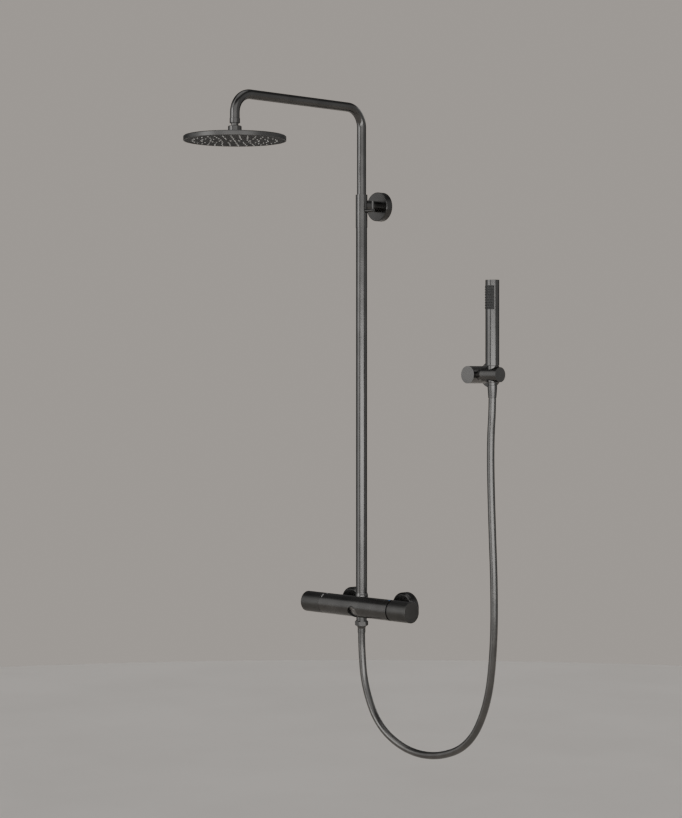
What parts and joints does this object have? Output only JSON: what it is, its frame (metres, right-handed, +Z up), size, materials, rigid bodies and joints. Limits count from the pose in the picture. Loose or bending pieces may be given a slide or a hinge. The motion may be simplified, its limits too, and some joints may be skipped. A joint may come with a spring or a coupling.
{
  "type": "rainfall shower column",
  "caption": "Wall-mounted thermostatic shower column with telescopic riser, overhead arm, round rain head, stick handset, holder and hose.",
  "frame": {"origin": "on the finished wall, midway between the two water inlets", "axes": "+X right along the wall, +Y into the wall, +Z up"},
  "size_m": [0.523, 0.523, 1.3241],
  "materials": {
    "gunmetal": "satin anthracite coated metal",
    "knob_metal": "fine matt anthracite metal",
    "raw_brass": "machined brass",
    "steel": "stainless steel",
    "black_plastic": "moulded black plastic",
    "white_plastic": "moulded acetal",
    "nozzle_silicone": "pale grey silicone",
    "dark_rubber": "dark rubber",
    "hose_skin": "smooth satin anthracite hose"
  },
  "bodies": {
    "root": {"mixer_sleeve": "gunmetal", "valve_body": "raw_brass", "flow_cartridge": "white_plastic", "thermostat_cartridge": "white_plastic", "temperature_stop_ring": "black_plastic", "diverter_guide": "black_plastic", "inlet_unions": "gunmetal", "union_nuts": "gunmetal", "inlet_filters": "steel", "check_valves": "white_plastic", "inlet_rosettes": "gunmetal", "riser_foot": "gunmetal", "riser_seal": "dark_rubber", "riser_tube": "gunmetal", "slide_sleeve": "gunmetal", "lock_pad": "white_plastic", "bracket_post": "gunmetal", "bracket_rosette": "gunmetal", "bracket_wall_plate": "steel", "bracket_grub_screw": "steel", "outlet_nipple": "gunmetal", "hose_nut": "gunmetal", "hose_washer": "dark_rubber", "hose_ferrule_lower": "gunmetal", "hose": "hose_skin", "holder_rosette": "gunmetal", "holder_wall_plate": "steel", "holder_post": "gunmetal", "holder_grub_screw": "steel", "holder_neck": "gunmetal", "holder_pivot": "steel"},
    "flow_knob": {"flow_knob": "knob_metal", "flow_spindle": "raw_brass", "flow_knob_insert": "black_plastic"},
    "temperature_knob": {"temperature_knob": "knob_metal", "temperature_spindle": "raw_brass", "temperature_knob_insert": "black_plastic"},
    "diverter_button": {"diverter_button": "gunmetal", "diverter_spring": "steel"},
    "lock_lever": {"lock_lever": "gunmetal"},
    "arm_swivel": {"guide_bush": "white_plastic"},
    "arm": {"arm_tube": "gunmetal", "arm_seals": "dark_rubber", "arm_collar": "gunmetal", "ball_stem": "gunmetal"},
    "head_cradle": {"ball_seat_ring": "white_plastic"},
    "rain_head": {"ball_nut": "gunmetal", "head_gasket": "dark_rubber", "head_cover": "gunmetal", "head_face_plate": "gunmetal", "nozzle_mat": "nozzle_silicone"},
    "holder": {"holder_barrel": "gunmetal", "holder_liner": "black_plastic"},
    "hose_end": {"hose_cone": "gunmetal", "hose_ferrule_upper": "gunmetal"},
    "handset": {"handset_core": "black_plastic", "handset_body": "gunmetal", "nozzle_pad": "dark_rubber"}
  },
  "joints": [
    {"name": "flow_turn", "type": "hinge", "parent": "root", "child": "flow_knob", "pos_m": [-0.125, -0.069, 0], "axis": [1, 0, 0], "range_deg": [0, 90]},
    {"name": "temperature_turn", "type": "hinge", "parent": "root", "child": "temperature_knob", "pos_m": [0.125, -0.069, 0], "axis": [1, 0, 0], "range_deg": [-130, 50]},
    {"name": "diverter_push", "type": "slide", "parent": "root", "child": "diverter_button", "axis": [0, 0.866, 0.5], "range_m": [0, 0.0045], "stiffness_N_per_m": 800, "springref_m": -0.003, "deforming": ["diverter_spring"]},
    {"name": "lock_turn", "type": "hinge", "parent": "root", "child": "lock_lever", "pos_m": [0.024, -0.06, 0.813], "axis": [1, 0, 0], "range_deg": [0, 90]},
    {"name": "arm_turn", "type": "hinge", "parent": "root", "child": "arm_swivel", "pos_m": [0, -0.06, 0.833], "axis": [0, 0, 1], "range_deg": [-60, 60]},
    {"name": "arm_slide", "type": "slide", "parent": "arm_swivel", "child": "arm", "axis": [0, 0, 1], "range_m": [-0.1, 0.2]},
    {"name": "head_tilt", "type": "hinge", "parent": "arm", "child": "head_cradle", "pos_m": [0, -0.405, 0.95], "axis": [1, 0, 0], "range_deg": [-12, 12]},
    {"name": "head_roll", "type": "hinge", "parent": "head_cradle", "child": "rain_head", "pos_m": [0, -0.405, 0.95], "axis": [0, 1, 0], "range_deg": [-12, 12]},
    {"name": "holder_tilt", "type": "hinge", "parent": "root", "child": "holder", "pos_m": [0.3505, -0.05, 0.4764], "axis": [1, 0, 0], "range_deg": [-30, 30]},
    {"name": "handset_lift", "type": "slide", "parent": "holder", "child": "hose_end", "axis": [0, 0, 1], "range_m": [0, 0.045]},
    {"name": "handset_spin", "type": "hinge", "parent": "hose_end", "child": "handset", "pos_m": [0.3505, -0.05, 0.4764], "axis": [0, 0, 1], "continuous": true}
  ]
}
